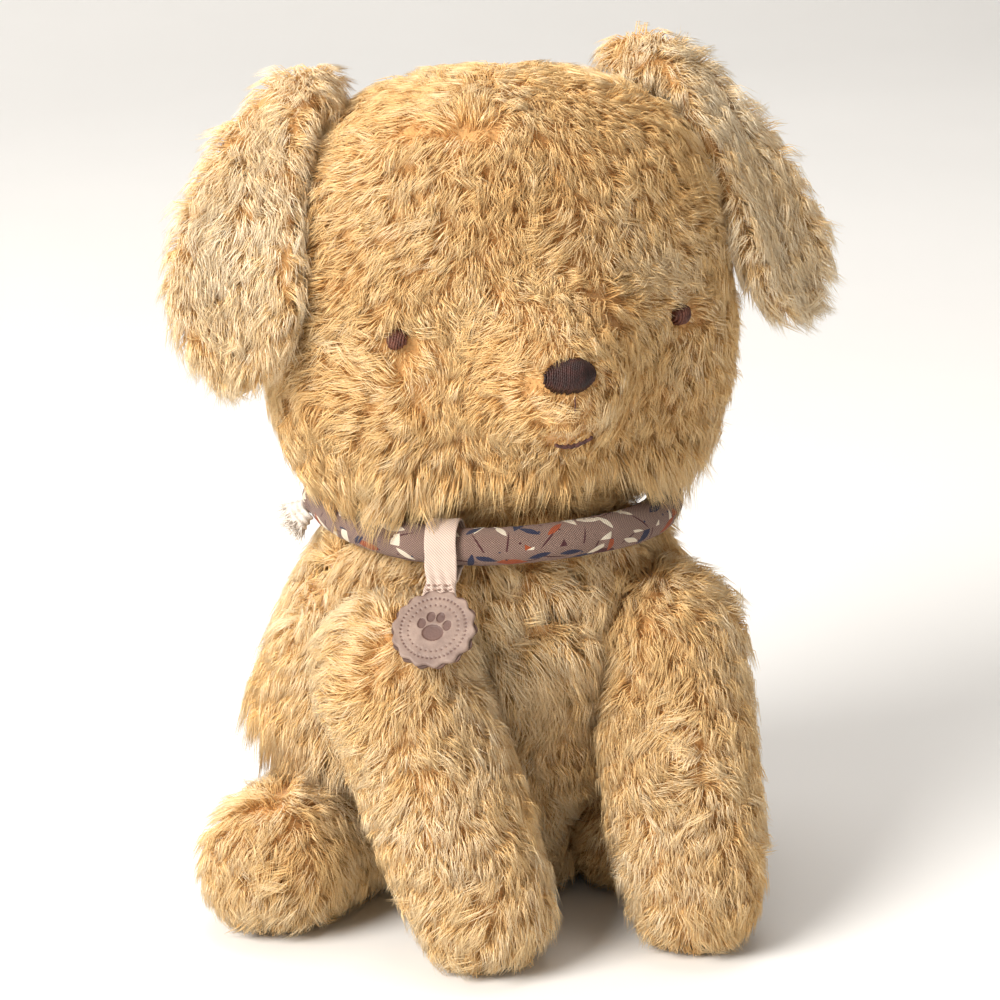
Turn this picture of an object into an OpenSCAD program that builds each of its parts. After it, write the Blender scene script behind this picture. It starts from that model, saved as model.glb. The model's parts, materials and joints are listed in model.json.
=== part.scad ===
// Sitting plush dog with flop ears, a padded collar and a hanging tag.
// The dog faces -Y, its left side is +X, and it sits on the plane z = 0.
// Each sewn part is a skin of fabric panels round a stuffing, and turns about its seam.

/* [Torso] */
// Width of the torso at the hips
torso_w = 146; // [140:1:150]
// Depth of the torso, front to back, at the hips
torso_d = 108; // [104:1:110]
// Height of the widest ring of the torso
torso_wide_z = 45; // [43:1:47]
// Height at which the torso would close if it had no neck
torso_top_z = 142; // [140:1:143]
// Depth of the flattened bottom below the widest ring
torso_low_r = 48; // [47:1:49]
// Height of the neck seam
neck_seam_z = 124; // [123:1:125]

/* [Head] */
// Width of the head
head_w = 143; // [140:1:146]
// Depth of the head behind its centre
head_back = 62; // [58:1:64]
// Depth of the head before its centre, without the muzzle
head_front = 36; // [35:1:40]
// Height of the head above its centre
head_up = 69; // [66:1:71]
// Height of the head below its centre
head_down = 62; // [60:1:63]
// Height of the head's centre above the floor
head_z = 191; // [190:1:193]
// How far the muzzle stands out of the face
muzzle_out = 29; // [22:1:31]

/* [Ears] */
// Half width of an ear at its widest
ear_half_w = 19; // [18:1:20]
// Half width of an ear at its root
ear_root_half_w = 10; // [9:1:11]
// Thickness of one of the two ear panels
ear_panel_t = 2.6; // [2:0.1:3]

/* [Legs] */
// Radius of a front leg at the shoulder
shoulder_r = 23; // [22:0.5:23.5]
// Radius of a front leg half way down
foreleg_r = 21.5; // [20.5:0.5:22]
// Radius of a front paw
paw_r = 18.5; // [18:0.5:19]
// Radius of a hind leg at the hip
hip_r = 21.5; // [21:0.5:22]
// Radius of a hind foot
foot_r = 20.5; // [19.5:0.5:21]
// Outward turn of the dog's right hind leg from straight ahead, in degrees
right_leg_turn = 49; // [46:1:51]
// Outward turn of the dog's left hind leg from straight ahead (less than 0 is inward), in degrees
left_leg_turn = -6; // [-8:1:-4]

/* [Tail] */
// Length of the tail from its root to the middle of its tip
tail_len = 22; // [18:1:28]
// Radius of the tail at its root
tail_root_r = 11; // [10:0.5:11.5]
// Radius of the tail at its tip
tail_tip_r = 9; // [7:0.5:10]

/* [Collar and tag] */
// Radius of the collar's middle line round the neck
collar_r = 54; // [53.5:0.5:55]
// Radius of the stuffed collar tube
collar_tube_r = 6; // [5.5:0.25:6]
// Height of the collar
collar_z = 126; // [125:0.5:127]
// Place of the tag round the neck, in degrees from the front towards the dog's right
tag_turn = 34; // [33:1:35]
// Lean of the tag away from vertical, in degrees
tag_lean = 46; // [45:1:48]
// Radius of the tag to the middle of its scallops
tag_r = 12.6; // [12:0.1:13]
// Number of scallops round the tag
tag_scallops = 14; // [12:1:16]
// Width of the tape that holds the tag
tape_w = 10; // [9:0.5:11]

/* [Fabric] */
// Thickness of a fur panel, backing and root of the pile
skin_t = 3; // [2.5:0.25:3.5]
// Half of the gap between two panels, in degrees round the part
seam_gap = 0.2; // [0.15:0.05:0.3]

/* [Hidden] */

fur_colour = "#dcb57a";
fur_pale = "#ead0a2";
stuffing_colour = "#f4f1ea";
thread_colour = "#40211a";
sleeve_colour = "#8c7062";
tape_colour = "#e6d3c4";
tag_colour = "#b89d90";

left = 1;              // the dog's left, +X
right = -1;            // the dog's right, -X
fill_gap = 0.3;        // between a limb's skin and its stuffing
body_fill_gap = 3.4;   // between the torso's skin and its stuffing, past the hollows' facets
head_fill_gap = 1.6;   // between the head's skin and its stuffing
part_gap = 0.6;        // between a turning part and the hollow that it sits in
leg_gap = 2.2;         // added to a hind leg's radius for the hollow that the torso leaves it
arm_gap = 2.4;         // the same for a front leg
tail_gap = 2.3;         // and for the tail

// Torso, as rings at each height
torso_half_w = torso_w / 2;
torso_half_d = torso_d / 2;
torso_back_shift = 9;  // how far the wide ring sits behind the neck
base_panel_t = 3;
base_rx = 21;
base_ry = 24;
side_floor_z = 1.2;    // lowest edge of the side panels
bag_top_z = 27;

// Neck
neck_y = -6;
neck_z = 120;
neck_r = 27;

// Head
head_y = -12;
head_half_w = head_w / 2;
head_centre = [0, head_y, head_z];
head_square = 3.0;     // how square the head is, seen from the front
head_plan = 2.1;       // and from above
head_taper = 0.1;      // how much narrower the crown is than the cheeks
head_rim_lat = -64;    // latitude of the neck opening
muzzle_lat = -13;
muzzle_spread = 27;    // degrees over which the muzzle fades

// Legs
shoulder = [44, -38, 84];
left_paw = [39, -79, paw_r];
right_paw = [-28, -74, paw_r];
hip = [42, 8, hip_r + 0.2];
right_leg_len = 50;
left_leg_len = 36;

tail_root = [0, 56, 34];
tail_rise = 38;        // degrees above level

ring_step = 18;        // degrees between the rings of a limb's rounded end
lip_slope = 3;         // steepness of the lip where a hollow meets the torso

// ---------- vectors and surfaces ----------

function unit(v) = v / norm(v);
function lerp(a, b, t) = a + (b - a) * t;
function smooth(t) = let (c = min(1, max(0, t))) c * c * (3 - 2 * c);
function sided(p, side) = [p.x * side, p.y, p.z];

// The point p drawn back towards o so that a surface round o leaves a ball free, with a flared lip
function kept_out(o, p, ball) =
    let (reach = norm(p - o), way = (p - o) / reach, q = ball[0] - o)
    let (ahead = q * way, aside = norm(q - ahead * way))
    ahead <= 0 ? p
    : aside < ball[1] ? o + min(reach, ahead - sqrt(ball[1] * ball[1] - aside * aside)) * way
    : o + min(reach, ahead + lip_slope * (aside - ball[1])) * way;

// The same for a list of balls, from number i on
function kept_out_of(o, p, balls, i = 0) =
    i >= len(balls) ? p : kept_out_of(o, kept_out(o, p, balls[i]), balls, i + 1);

function triangle(pts, a, b, c) =
    (pts[a] == pts[b] || pts[b] == pts[c] || pts[a] == pts[c]) ? [] : [[a, b, c]];
function quad(pts, a, b, c, d) = concat(triangle(pts, a, b, c), triangle(pts, a, c, d));
function joined(lists) = [for (l = lists) each l];

// A fabric panel: the surface f(u, v, depth) between depth 0 and depth thick
module panel(f, across, along, thick, out = 0) {
    us = [for (u = across) u];
    vs = [for (v = along) v];
    n = len(us);
    m = len(vs);
    pts = [for (depth = [-out, thick], v = vs, u = us) f(u, v, depth)];
    function at(layer, j, i) = layer * n * m + j * n + i;
    outer = joined([for (j = [0 : m - 2], i = [0 : n - 2])
        quad(pts, at(0, j, i), at(0, j + 1, i), at(0, j + 1, i + 1), at(0, j, i + 1))]);
    inner = joined([for (j = [0 : m - 2], i = [0 : n - 2])
        quad(pts, at(1, j, i), at(1, j, i + 1), at(1, j + 1, i + 1), at(1, j + 1, i))]);
    first_edge = joined([for (j = [0 : m - 2])
        quad(pts, at(0, j, 0), at(1, j, 0), at(1, j + 1, 0), at(0, j + 1, 0))]);
    last_edge = joined([for (j = [0 : m - 2])
        quad(pts, at(0, j, n - 1), at(0, j + 1, n - 1), at(1, j + 1, n - 1), at(1, j, n - 1))]);
    low_edge = joined([for (i = [0 : n - 2])
        quad(pts, at(0, 0, i), at(0, 0, i + 1), at(1, 0, i + 1), at(1, 0, i))]);
    high_edge = joined([for (i = [0 : n - 2])
        quad(pts, at(0, m - 1, i), at(1, m - 1, i), at(1, m - 1, i + 1), at(0, m - 1, i + 1))]);
    polyhedron(pts, concat(outer, inner, first_edge, last_edge, low_edge, high_edge));
}

// A closed body: rings f(u, v, depth) round u, its first and last rings shrunk to a point
module blob(f, around, along, depth = 0) {
    us = [for (u = around) u];
    vs = [for (v = along) v];
    n = len(us);
    m = len(vs);
    pts = [for (v = vs, u = us) f(u, v, depth)];
    polyhedron(pts, joined([for (j = [0 : m - 2], i = [0 : n - 1])
        let (k = (i + 1) % n)
        quad(pts, j * n + i, (j + 1) * n + i, (j + 1) * n + k, j * n + k)]));
}

// ---------- torso ----------

function torso_share(z, power_low, power_up) =
    z < torso_wide_z
    ? pow(1 - pow((torso_wide_z - z) / torso_low_r, power_low), 1 / power_low)
    : sqrt(1 - pow((z - torso_wide_z) / (torso_top_z - torso_wide_z), power_up));
function torso_y(z) = torso_back_shift * (1 - smooth((z - 40) / 84));

function paw(side) = side == left ? left_paw : right_paw;
function leg_turn(side) = side == left ? left_leg_turn : right_leg_turn;
function leg_len(side) = side == left ? left_leg_len : right_leg_len;
function leg_way(side, turn) = [side * sin(turn), -cos(turn), 0];
function foot(side) =
    sided(hip, side) + leg_len(side) * leg_way(side, leg_turn(side)) + [0, 0, foot_r + 0.2 - hip.z];

tail_way = [0, cos(tail_rise), sin(tail_rise)];

// Hollows in the torso where the legs and the tail sit, each a ball
leg_hollows = [for (side = [left, right], far = [0 : 10 : 50])
    for (swing = side == left ? [-4 : 11 : 40] : [-35 : 12 : 25])
    [sided(hip, side) + far * leg_way(side, leg_turn(side) + swing), hip_r + leg_gap]];
arm_hollows = [for (side = [left, right], far = [0 : 0.15 : 0.9])
    [lerp(sided(shoulder, side), paw(side), far), shoulder_r + arm_gap]];
tail_hollow = [for (far = [0 : 5 : 20]) [tail_root + far * tail_way, tail_root_r + tail_gap]];
hollows = concat(leg_hollows, arm_hollows, tail_hollow);

function torso_point(turn, z, depth) =
    let (middle = [0, torso_y(z), z])
    let (rx = torso_half_w * torso_share(z, 2.6, 2) - depth)
    let (ry = torso_half_d * torso_share(z, 2.6, 2.9) - depth)
    let (wider = [for (h = hollows) [h[0], h[1] + depth]])
    kept_out_of(middle, middle + [rx * sin(turn), -ry * cos(turn), 0], wider);

panel_heights = [side_floor_z, 4, each [9 : 6 : 117], neck_seam_z];
module torso_panel(from, to) {
    turns = [for (k = [0 : 15]) lerp(from + seam_gap, to - seam_gap, k / 15)];
    panel(function (u, v, depth) torso_point(u, v, depth), turns, panel_heights, skin_t);
}

module torso_base_panel() {
    color(fur_colour)
    translate([0, torso_back_shift, 0])
    linear_extrude(base_panel_t)
    polygon([for (a = [0 : 10 : 350]) [base_rx * cos(a), base_ry * sin(a)]]);
}

module torso_filling() {
    heights = concat([[bag_top_z + 1, 0], [bag_top_z + 1, 1]],
        [for (z = [34 : 8 : 82]) [z, 1]], [[86, 1], [86, 0]]);
    color(stuffing_colour)
    blob(function (u, v, depth)
            let (middle = [0, torso_y(v[0]), v[0]])
            middle + v[1] * (torso_point(u, v[0], depth) - middle),
        [0 : 12 : 348], heights, skin_t + body_fill_gap);
}

function bag_point(turn, lat, depth) =
    [-1.5, torso_back_shift + 3, 15.2] + [(13 - depth) * cos(lat) * sin(turn),
        -(30 - depth) * cos(lat) * cos(turn), (11.4 - depth) * sin(lat)];
module pellet_bag() {
    color("#cfc8ba")
    difference() {
        blob(function (u, v, depth) bag_point(u, v, depth), [0 : 20 : 340], [-90 : 22.5 : 90], 0);
        blob(function (u, v, depth) bag_point(u, v, depth), [0 : 20 : 340], [-90 : 22.5 : 90], 0.8);
    }
}
module pellet_fill() {
    color("#e9e6df")
    blob(function (u, v, depth) bag_point(u, v, depth), [0 : 20 : 340], [-90 : 22.5 : 90], 1.2);
}

// A blank folded label sewn into the torso's back seam
module care_label() {
    color("white")
    translate([3, 61.2, 62])
    rotate([0, 0, -3])
    cube([0.6, 16, 11]);
}

// ---------- neck and head ----------

module neck_filling() {
    color(stuffing_colour)
    translate([0, neck_y, neck_z])
    sphere(neck_r);
}

function head_way(turn, lat) = [cos(lat) * sin(turn), -cos(lat) * cos(turn), sin(lat)];
function angle_between(a, b) = acos(min(1, max(-1, a * b)));
muzzle_way = head_way(0, muzzle_lat);

function head_reach(way, depth) =
    let (b = (way.y < 0 ? head_front : head_back) - depth)
    let (c = (way.z > 0 ? head_up : head_down) - depth)
    let (across = abs(way.x) * (1 + head_taper * way.z))
    let (flat = pow(across / (head_half_w - depth), head_plan) + pow(abs(way.y) / b, head_plan))
    pow(pow(flat, head_square / head_plan) + pow(abs(way.z) / c, head_square), -1 / head_square)
    + muzzle_out * exp(-pow(angle_between(way, muzzle_way) / muzzle_spread, 2));

neck_hollow = [[0, neck_y, neck_z], neck_r + part_gap];
function head_point(turn, lat, depth) =
    let (p = head_centre + head_reach(head_way(turn, lat), depth) * head_way(turn, lat))
    kept_out(head_centre, p, [neck_hollow[0], neck_hollow[1] + max(0, depth)]);

head_lats = [head_rim_lat, -57, each [-50 : 10 : 70], 78, 85, 90];
module head_panel(from, to) {
    steps = round((to - from) / 8);
    turns = [for (k = [0 : steps]) lerp(from + seam_gap, to - seam_gap, k / steps)];
    color(fur_colour)
    panel(function (u, v, depth) head_point(u, v, depth), turns, head_lats, skin_t);
}
module head_filling() {
    color(stuffing_colour)
    blob(function (u, v, depth) head_point(u, v, depth),
        [0 : 15 : 345], [-90 : 12 : 90], skin_t + head_fill_gap);
}

// A pad of thread on the face: an oval of half sizes in degrees round a place on the head
module stitched_oval(turn, lat, half_turn, half_lat, raise) {
    color(thread_colour)
    blob(function (u, v, depth)
            head_point(turn + half_turn * v[0] * sin(u), lat + half_lat * v[0] * cos(u), v[1]),
        [0 : 24 : 336], [[0, -0.1], [1, -0.1], [0.94, -0.7 * raise], [0.6, -raise], [0, -raise]]);
}
// The smile: a thread band along an arc of the face, with the line that joins it to the nose
function smile_lat(turn) = -26 + 1.7 * pow(turn / 5.6, 2);
module mouth_stitching() {
    color(thread_colour)
    union() {
        panel(function (u, v, depth) head_point(u, smile_lat(u) + v, depth),
            [-5.6 : 1.4 : 5.6], [-0.7, 0.7], -0.15, 1.1);
        panel(function (u, v, depth) head_point(u, v, depth),
            [-0.5, 0.5], [-16.5, -14, -11.5], -0.15, 1.0);
    }
}

// ---------- ears ----------

// The middle lines of the ears, from root to tip, both drawn as if on the dog's left
left_ear_line = [[46.5, 8, 255], [50, 6, 281], [77, -10, 244], [93, -20, 182]];
right_ear_line = [[50.5, 10, 251.8], [56, 8, 268], [88.5, -8, 250.5], [88.5, -22, 176]];
ear_root_way = unit([-0.35, 0.85, 0.4]);
ear_tip_way = unit([0.85, 0.53, 0]);
function bezier(p, t) =
    let (s = 1 - t) s * s * s * p[0] + 3 * s * s * t * p[1] + 3 * s * t * t * p[2] + t * t * t * p[3];
function bezier_way(p, t) =
    let (s = 1 - t) unit(3 * s * s * (p[1] - p[0]) + 6 * s * t * (p[2] - p[1]) + 3 * t * t * (p[3] - p[2]));
function ear_line(side) = side == left ? left_ear_line : right_ear_line;
// Gathered at the fold, then widening to a broad round tip
ear_shares = [[0, ear_root_half_w / ear_half_w], [0.3, 0.4], [0.5, 0.53], [0.65, 0.76], [0.84, 1], [1, 1]];
ear_tip_from = 0.84;
function ear_width(t) =
    ear_half_w * lookup(t, ear_shares)
    * (t > ear_tip_from ? sqrt(1 - pow((t - ear_tip_from) / (1 - ear_tip_from), 2)) : 1);
// across runs from -1 at the front edge to 1 at the back edge, depth from the middle outwards is negative
function ear_point(across, t, depth, side) =
    let (way = unit(lerp(ear_root_way, ear_tip_way, smooth(t / 0.6))))
    let (face = unit(cross(way, bezier_way(ear_line(side), t))))
    let (p = bezier(ear_line(side), t) + ear_width(t) * across * way
        - (3.5 * pow(across * ear_width(t) / ear_half_w, 2) * smooth(t / 0.3) + depth) * face)
    sided(p, side);
ear_steps = [0, 0.06, 0.12, 0.2, 0.28, 0.36, 0.45, 0.54, 0.63, 0.72, 0.8, 0.87, 0.93, 0.98, 1];
ear_across = [-1 : 0.25 : 1];
module ear_panel(side, layer) {
    low = layer == "outer" ? -(0.15 + ear_panel_t) : 0.15;
    color(layer == "outer" ? fur_pale : fur_colour)
    // the mirrored side runs the other way across, which keeps the panel's outside out
    panel(function (u, v, depth) ear_point(side * u, v, low + depth, side),
        ear_across, ear_steps, ear_panel_t);
}

// ---------- legs and tail ----------

// Rings [distance along, radius] of a limb from ball a, radius ra, to ball b, radius rb
function limb_rings(len, ra, rm, rb) = concat(
    [for (a = [-90 : ring_step : 0]) [ra * sin(a), ra * cos(a)]],
    [for (k = [0.15 : 0.175 : 0.85])
        [k * len, lerp(lerp(ra, rb, k), rm, sin(180 * k))]],
    [for (a = [0 : ring_step : 90]) [len + rb * sin(a), rb * cos(a)]]);
function limb_point(a, b, ra, rm, rb, turn, ring, depth) =
    let (way = unit(b - a), out = unit(cross(way, [1, 0, 0])), wide = cross(out, way))
    let (rings = limb_rings(norm(b - a), ra - depth, rm - depth, rb - depth))
    a + rings[ring][0] * way + rings[ring][1] * (cos(turn) * wide + sin(turn) * out);
limb_ring_count = len(limb_rings(1, 1, 1, 1));

module limb_half(a, b, ra, rm, rb, from) {
    color(fur_colour)
    panel(function (u, v, depth) limb_point(a, b, ra, rm, rb, u, v, depth),
        [for (k = [0 : 8]) lerp(from + 2 * seam_gap, from + 180 - 2 * seam_gap, k / 8)],
        [0 : limb_ring_count - 1], skin_t);
}
module limb_filling(a, b, ra, rm, rb) {
    color(stuffing_colour)
    blob(function (u, v, depth) limb_point(a, b, ra, rm, rb, u, v, depth),
        [0 : 24 : 336], [0 : limb_ring_count - 1], skin_t + fill_gap);
}

module front_leg_half(side, from) {
    limb_half(sided(shoulder, side), paw(side), shoulder_r, foreleg_r, paw_r, from);
}
module front_leg_filling(side) {
    limb_filling(sided(shoulder, side), paw(side), shoulder_r, foreleg_r, paw_r);
}
module hind_leg_half(side, from) {
    limb_half(sided(hip, side), foot(side), hip_r, (hip_r + foot_r) / 2, foot_r, from);
}
module hind_leg_filling(side) {
    limb_filling(sided(hip, side), foot(side), hip_r, (hip_r + foot_r) / 2, foot_r);
}

tail_tip = tail_root + tail_len * tail_way;
module tail_half(from) {
    limb_half(tail_root, tail_tip, tail_root_r, (tail_root_r + tail_tip_r) / 2, tail_tip_r, from);
}
module tail_filling() {
    limb_filling(tail_root, tail_tip, tail_root_r, (tail_root_r + tail_tip_r) / 2, tail_tip_r);
}

// ---------- collar ----------

knot_turn = 104;       // place of the knot, in degrees from the front towards the dog's right
knot_r = 7;
sleeve_t = 1;
module at_collar(turn) {
    translate([0, 0, collar_z])
    rotate([0, 0, -turn])
    translate([0, -collar_r, 0])
    children();
}
module collar_ring(outer, inner) {
    difference() {
        translate([0, 0, collar_z])
        rotate_extrude($fn = 96)
        translate([collar_r, 0])
        difference() {
            circle(outer, $fn = 48);
            if (inner > 0) circle(inner, $fn = 48);
        }
        at_collar(knot_turn) sphere(knot_r + 0.2, $fn = 48);
    }
}
module collar_sleeve() {
    color(sleeve_colour) collar_ring(collar_tube_r, collar_tube_r - sleeve_t);
}
module collar_cord() {
    color("#efe9dd") collar_ring(collar_tube_r - sleeve_t - 0.2, 0);
}
module collar_knot() {
    color(sleeve_colour) at_collar(knot_turn) sphere(knot_r, $fn = 48);
}
// One frayed end of the sleeve, flaring away from the knot
module collar_end(tilt, swing) {
    color("#e4dcd2")
    at_collar(knot_turn)
    rotate([0, 0, swing])
    rotate([90 + tilt, 0, 0])
    translate([0, 0, knot_r + 0.1])
    cylinder(h = 9, r1 = 2.2, r2 = 4, $fn = 32);
}

// ---------- tag ----------

tape_t = 0.7;
loop_r = collar_tube_r + 1.15;     // inside radius of the tape's loop round the collar
tape_join = 14;                    // distance from the collar's middle to where the loop closes
tape_end = 24;
tag_front_t = 1.1;
tag_backing_t = 0.7;
tag_centre = 30;
tag_drift = 6;                     // degrees that the tape hangs off to one side
// The tag's own frame: x along the collar, z down the tag, y out of the tag's face
module at_tag() {
    at_collar(tag_turn) rotate([180 - tag_lean, 0, 0]) rotate([0, tag_drift, 0]) children();
}
module tag_tape() {
    color(tape_colour)
    translate([-tape_w / 2, 0, 0])
    rotate([90, 0, 90])
    linear_extrude(tape_w)
    union() {
        difference() {
            union() {
                circle(loop_r + tape_t, $fn = 64);
                polygon([[-5.2, 5.4], [5.2, 5.4], [tape_t, tape_join], [-tape_t, tape_join]]);
            }
            circle(loop_r, $fn = 64);
            polygon([[-4.3, 4.9], [4.3, 4.9], [0.05, tape_join - 1.4], [-0.05, tape_join - 1.4]]);
        }
        translate([-tape_t, tape_join - 0.6]) square([2 * tape_t, tape_end - tape_join + 0.6]);
    }
}
// Rows of stitches across the tape where the loop closes
module tag_tape_stitches() {
    color("#9c7f74")
    for (row = [tape_join + 0.4, tape_join + 1.9], k = [-3.5 : 1.75 : 3.5])
        translate([k - 0.55, tape_t + 0.05, row])
        cube([1.1, 0.35, 0.5]);
}
function scalloped(r) = [for (a = [0 : 3 : 357])
    (r + 0.55 * cos(tag_scallops * a)) * [cos(a), sin(a)]];
module tag_disc(r, y, thick) {
    translate([0, y + thick, tag_centre])
    rotate([90, 0, 0])
    linear_extrude(thick)
    polygon(scalloped(r));
}
module tag_front() {
    color(tag_colour) tag_disc(tag_r, tape_t + 0.1 + tag_backing_t, tag_front_t);
}
module tag_backing() {
    color("#5e463d") tag_disc(tag_r + 0.2, tape_t + 0.05, tag_backing_t);
}

// ---------- the nodes ----------

color(fur_colour) torso_panel(-62, 62);  // torso_front_panel
color(fur_colour) torso_panel(62, 180);  // torso_back_left_panel
color(fur_colour) torso_panel(-180, -62);  // torso_back_right_panel
torso_base_panel();
torso_filling();
pellet_bag();
pellet_fill();
care_label();
neck_filling();
head_panel(-48, 48);  // head_face_panel
head_panel(48, 136);  // head_left_panel
head_panel(-136, -48);  // head_right_panel
head_panel(136, 224);  // head_back_panel
head_filling();
stitched_oval(0, -5.5, 7.6, 4.7, 1.6);  // nose_stitching
stitched_oval(57, 0.5, 2.9, 3.4, 1.2);  // eye_left_stitching
stitched_oval(-57, 0.5, 2.9, 3.4, 1.2);  // eye_right_stitching
mouth_stitching();
ear_panel(left, "outer");  // ear_left_outer_panel
ear_panel(left, "inner");  // ear_left_inner_panel
ear_panel(right, "outer");  // ear_right_outer_panel
ear_panel(right, "inner");  // ear_right_inner_panel
front_leg_half(left, -90);  // front_leg_left_outer_panel
front_leg_half(left, 90);  // front_leg_left_inner_panel
front_leg_filling(left);  // front_leg_left_filling
front_leg_half(right, 90);  // front_leg_right_outer_panel
front_leg_half(right, -90);  // front_leg_right_inner_panel
front_leg_filling(right);  // front_leg_right_filling
hind_leg_half(left, -90);  // hind_leg_left_outer_panel
hind_leg_half(left, 90);  // hind_leg_left_inner_panel
hind_leg_filling(left);  // hind_leg_left_filling
hind_leg_half(right, 90);  // hind_leg_right_outer_panel
hind_leg_half(right, -90);  // hind_leg_right_inner_panel
hind_leg_filling(right);  // hind_leg_right_filling
tail_half(-90);  // tail_left_panel
tail_half(90);  // tail_right_panel
tail_filling();
collar_sleeve();
collar_cord();
collar_knot();
collar_end(42, 17);  // collar_end_lower
collar_end(31, -24);  // collar_end_upper
at_tag() tag_tape();
at_tag() tag_tape_stitches();
at_tag() tag_front();
at_tag() tag_backing();
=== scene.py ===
import json
import math

import bmesh
import bpy
import numpy as np
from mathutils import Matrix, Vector
from mathutils.bvhtree import BVHTree


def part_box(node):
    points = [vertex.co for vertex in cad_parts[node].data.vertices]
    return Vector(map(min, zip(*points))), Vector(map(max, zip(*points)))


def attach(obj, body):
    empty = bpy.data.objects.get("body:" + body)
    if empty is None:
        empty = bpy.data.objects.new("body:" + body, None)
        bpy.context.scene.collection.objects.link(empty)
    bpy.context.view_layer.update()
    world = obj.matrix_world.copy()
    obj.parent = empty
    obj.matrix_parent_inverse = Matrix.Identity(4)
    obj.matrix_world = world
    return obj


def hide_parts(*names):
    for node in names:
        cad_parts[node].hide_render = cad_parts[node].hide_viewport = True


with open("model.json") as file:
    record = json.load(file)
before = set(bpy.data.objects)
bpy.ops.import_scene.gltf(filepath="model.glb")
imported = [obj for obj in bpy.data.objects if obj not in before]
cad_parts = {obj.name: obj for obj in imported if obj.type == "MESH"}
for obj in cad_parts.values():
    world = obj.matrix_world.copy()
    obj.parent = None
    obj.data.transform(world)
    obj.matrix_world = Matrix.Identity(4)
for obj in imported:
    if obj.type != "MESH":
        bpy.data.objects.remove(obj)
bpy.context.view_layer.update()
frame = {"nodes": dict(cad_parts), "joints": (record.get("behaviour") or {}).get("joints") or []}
nodes = frame["nodes"]
joints = {joint["name"]: joint for joint in frame["joints"]}
MM = 0.001
UP = np.array([0.0, 0.0, 1.0])
DOWN = np.array([0.0, 0.0, -1.0])
rng = np.random.default_rng(11)
scene = bpy.context.scene


# -------- colours and shader helpers

def srgb(red, green, blue):
    """The linear colour of an sRGB one given from 0 to 255."""
    def one(c):
        c /= 255
        return c / 12.92 if c <= 0.04045 else ((c + 0.055) / 1.055) ** 2.4
    return (one(red), one(green), one(blue), 1.0)


def between(a, b, t):
    return tuple(x + (y - x) * t for x, y in zip(a, b))


def shader(name, roughness=0.8, **values):
    mat = bpy.data.materials.new(name)
    mat.use_nodes = True
    bsdf = mat.node_tree.nodes["Principled BSDF"]
    bsdf.inputs["Roughness"].default_value = roughness
    for key, value in values.items():
        bsdf.inputs[key.replace("_", " ")].default_value = value
    return mat, mat.node_tree, bsdf


def add(tree, kind, settings=None, **sockets):
    """A shader node. A socket is named by its number, as i0, or by its name."""
    node = tree.nodes.new("ShaderNode" + kind)
    for key, value in (settings or {}).items():
        setattr(node, key, value)
    for key, value in sockets.items():
        numbered = key[0] == "i" and key[1:].isdigit()
        socket = node.inputs[int(key[1:]) if numbered else key.replace("_", " ")]
        if isinstance(value, bpy.types.NodeSocket):
            tree.links.new(value, socket)
        else:
            socket.default_value = value
    return node


def maths(tree, operation, a, b=0.0, c=0.5):
    return add(tree, "Math", {"operation": operation}, i0=a, i1=b, i2=c).outputs[0]


def mixed_colour(tree, factor, below, above, blend="MIX"):
    settings = {"data_type": "RGBA", "blend_type": blend}
    return add(tree, "Mix", settings, i0=factor, i6=below, i7=above).outputs[2]


def ramp(tree, factor, stops, constant=False):
    node = add(tree, "ValToRGB", Fac=factor)
    band = node.color_ramp
    band.interpolation = "CONSTANT" if constant else "LINEAR"
    while len(band.elements) < len(stops):
        band.elements.new(0.5)
    for element, (place, colour) in zip(band.elements, stops):
        element.position = place
        element.color = colour
    return node.outputs["Color"]


def grey(value):
    return (value, value, value, 1.0)


def noise_of(tree, vector, scale, detail=3.0, roughness=0.6):
    node = add(tree, "TexNoise", Vector=vector, Scale=scale, Detail=detail, Roughness=roughness)
    return node.outputs["Fac"]


def bump(tree, bsdf, height, strength, distance):
    node = add(tree, "Bump", Strength=strength, Distance=distance, Height=height)
    tree.links.new(node.outputs[0], bsdf.inputs["Normal"])


def paint(tree, bsdf, colour):
    tree.links.new(colour, bsdf.inputs["Base Color"])


def place(tree):
    return add(tree, "TexCoord").outputs["Object"]


def on_cloth(tree):
    """The place on the cloth, in millimetres."""
    return add(tree, "UVMap", {"uv_map": "cloth"}).outputs[0]


# -------- materials

PILE_DEEP, PILE_WARM = srgb(186, 124, 60), srgb(232, 182, 112)
PILE_GOLD, PILE_CREAM = srgb(248, 214, 156), srgb(255, 240, 212)
PILE_SHADES = 12
WARM_AT, GOLD_AT = 0.3, 0.65


def pile_colour(t):
    """The pile's colour from its deepest, 0, to its palest, 1."""
    if t < WARM_AT:
        return between(PILE_DEEP, PILE_WARM, t / WARM_AT)
    if t < GOLD_AT:
        return between(PILE_WARM, PILE_GOLD, (t - WARM_AT) / (GOLD_AT - WARM_AT))
    return between(PILE_GOLD, PILE_CREAM, (t - GOLD_AT) / (1 - GOLD_AT))


def pile_material(index):
    """One shade of the pile: its fibres' sheen and gloss vary over the toy."""
    mat, tree, bsdf = shader(f"pile_shade_{index:02d}", 0.62, Sheen_Roughness=0.45)
    bsdf.inputs["Base Color"].default_value = pile_colour(index / (PILE_SHADES - 1))
    bsdf.inputs["Sheen Tint"].default_value = srgb(255, 236, 205)
    fine = noise_of(tree, place(tree), 240.0, 2.0)
    broad = noise_of(tree, place(tree), 32.0, 2.0)
    tree.links.new(maths(tree, "MULTIPLY", fine, 0.22), bsdf.inputs["Sheen Weight"])
    tree.links.new(maths(tree, "MULTIPLY", broad, 0.4), bsdf.inputs["Specular IOR Level"])
    return mat


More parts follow.
